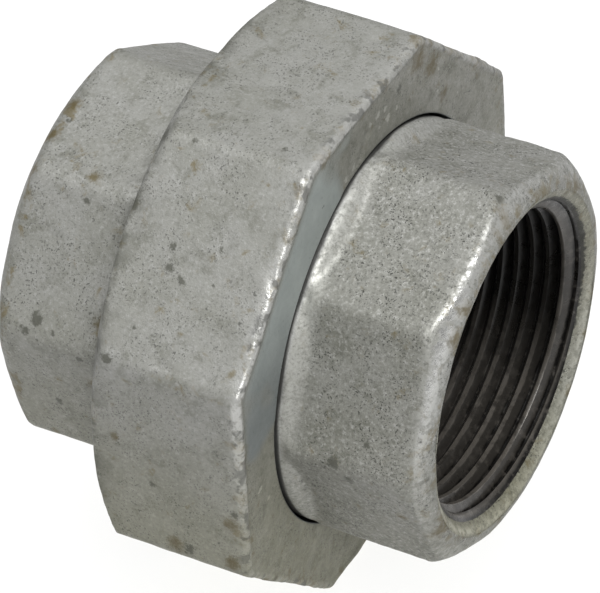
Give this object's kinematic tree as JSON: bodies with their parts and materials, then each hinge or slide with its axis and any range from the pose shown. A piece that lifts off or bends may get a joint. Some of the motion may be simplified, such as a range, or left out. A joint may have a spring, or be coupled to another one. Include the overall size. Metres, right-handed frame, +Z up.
{
  "type": "pipe union",
  "caption": "Galvanised malleable iron pipe union: female threaded ends held face to face by an octagonal ring nut, with a ball-shaped nose on a brass seat.",
  "frame": {"origin": "on the pipe's axis, half-way between the two end faces with the union closed", "axes": "+X along the pipe's axis, from the thread piece towards the tail piece's mouth; +Z up, with the nut standing on one flat"},
  "size_m": [0.062, 0.0712, 0.0712],
  "materials": {
    "nut_casting": "hot-dip galvanised, rough cast, stained",
    "end_casting": "hot-dip galvanised, rough cast, oily black threads",
    "brass_seat": "turned"
  },
  "bodies": {
    "fixed_end": {"thread_piece": "end_casting", "brass_seat_ring": "brass_seat"},
    "loose_end": {"tail_piece": "end_casting"},
    "nut": {"union_nut": "nut_casting"}
  },
  "joints": [
    {"name": "loose_end_draw", "type": "slide", "parent": "fixed_end", "child": "loose_end", "axis": [1, 0, 0], "range_m": [0, 0.0123]},
    {"name": "nut_turn", "type": "hinge", "parent": "loose_end", "child": "nut", "pos_m": [0, 0, 0], "axis": [1, 0, 0], "range_deg": [0, 1890]}
  ],
  "couplings": [
    {"joint": "loose_end_draw", "follows": "nut_turn", "m_per_rad": 0.00036749}
  ]
}
